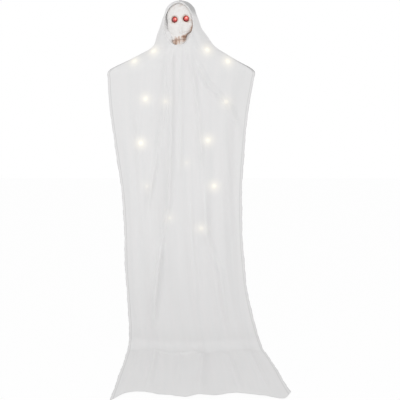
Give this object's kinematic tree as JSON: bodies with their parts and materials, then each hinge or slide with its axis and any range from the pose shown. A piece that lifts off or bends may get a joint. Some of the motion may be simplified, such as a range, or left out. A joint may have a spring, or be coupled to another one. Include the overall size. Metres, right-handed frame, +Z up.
{
  "type": "hanging ghost decoration",
  "caption": "Life-size hanging ghost: hooded skull with red eyes over spread arms, sheer white robe trailing on the floor, warm lights inside and a battery box on the spine.",
  "frame": {"origin": "centre of the hanging hole above the crown", "axes": "+Z up, front towards -Y, +X to the right of a viewer in front; left and right in names are that viewer's"},
  "size_m": [0.8306, 1.067, 1.7605],
  "materials": {
    "robe_cloth": "matte sheer gauze",
    "skull_shell": "matte moulded",
    "jaw_shell": "matte, stained brown",
    "red_lens": "clear red, polished",
    "warm_bulb": "clear",
    "steel": "plated",
    "black_screw": "black oxide",
    "hanger_plastic": "satin",
    "grey_plastic": "satin",
    "white_plastic": "satin",
    "wire_jacket": "satin",
    "cell_jacket": "gloss",
    "contact_metal": "plated spring",
    "board": "satin",
    "black_plastic": "satin"
  },
  "bodies": {
    "frame": {"hanger_eye": "hanger_plastic", "hanger_pin": "steel", "spine_tube": "steel", "neck_collar": "grey_plastic", "collar_screw": "black_screw", "shoulder_hub": "grey_plastic", "hub_screw": "black_screw", "arm_pins": "steel", "eye_lead": "wire_jacket", "battery_case": "white_plastic", "battery_cells": "cell_jacket", "upper_contacts": "contact_metal", "lower_contacts": "contact_metal", "switch_board": "board", "switch_cover": "white_plastic", "cover_screws": "steel", "left_wire": "wire_jacket", "right_wire": "wire_jacket", "back_wire": "wire_jacket", "left_bulbs": "warm_bulb", "right_bulbs": "warm_bulb", "back_bulbs": "warm_bulb", "robe_front": "robe_cloth", "robe_back": "robe_cloth", "hood": "robe_cloth"},
    "head": {"crown_bush": "white_plastic", "neck_bush": "white_plastic", "skull_back": "skull_shell", "skull_face": "skull_shell", "lower_jaw": "jaw_shell", "jaw_screws": "steel", "left_eye_lens": "red_lens", "right_eye_lens": "red_lens", "left_led_holder": "white_plastic", "right_led_holder": "white_plastic", "left_eye_led": "red_lens", "right_eye_led": "red_lens", "eye_wires": "wire_jacket"},
    "left_arm": {"left_arm_rod": "steel", "left_arm_tip": "white_plastic"},
    "right_arm": {"right_arm_rod": "steel", "right_arm_tip": "white_plastic"},
    "door": {"battery_door": "white_plastic"},
    "switch": {"switch_knob": "black_plastic"}
  },
  "joints": [
    {"name": "head_turn", "type": "hinge", "parent": "frame", "child": "head", "pos_m": [0, 0, -0.18], "axis": [0, 0, 1], "range_deg": [-26, 30], "deforming": ["hood"]},
    {"name": "left_arm_swing", "type": "hinge", "parent": "frame", "child": "left_arm", "pos_m": [-0.024, 0, -0.284], "axis": [0, 0, 1], "range_deg": [-15, 15], "deforming": ["robe_front", "robe_back", "left_wire", "left_bulbs"]},
    {"name": "right_arm_swing", "type": "hinge", "parent": "frame", "child": "right_arm", "pos_m": [0.024, 0, -0.284], "axis": [0, 0, -1], "range_deg": [-15, 15], "deforming": ["robe_front", "robe_back", "right_wire", "right_bulbs"]},
    {"name": "door_slide", "type": "slide", "parent": "frame", "child": "door", "axis": [0, 0, -1], "range_m": [0, 0.058]},
    {"name": "switch_slide", "type": "slide", "parent": "frame", "child": "switch", "axis": [0, 0, -1], "range_m": [0, 0.004]}
  ]
}
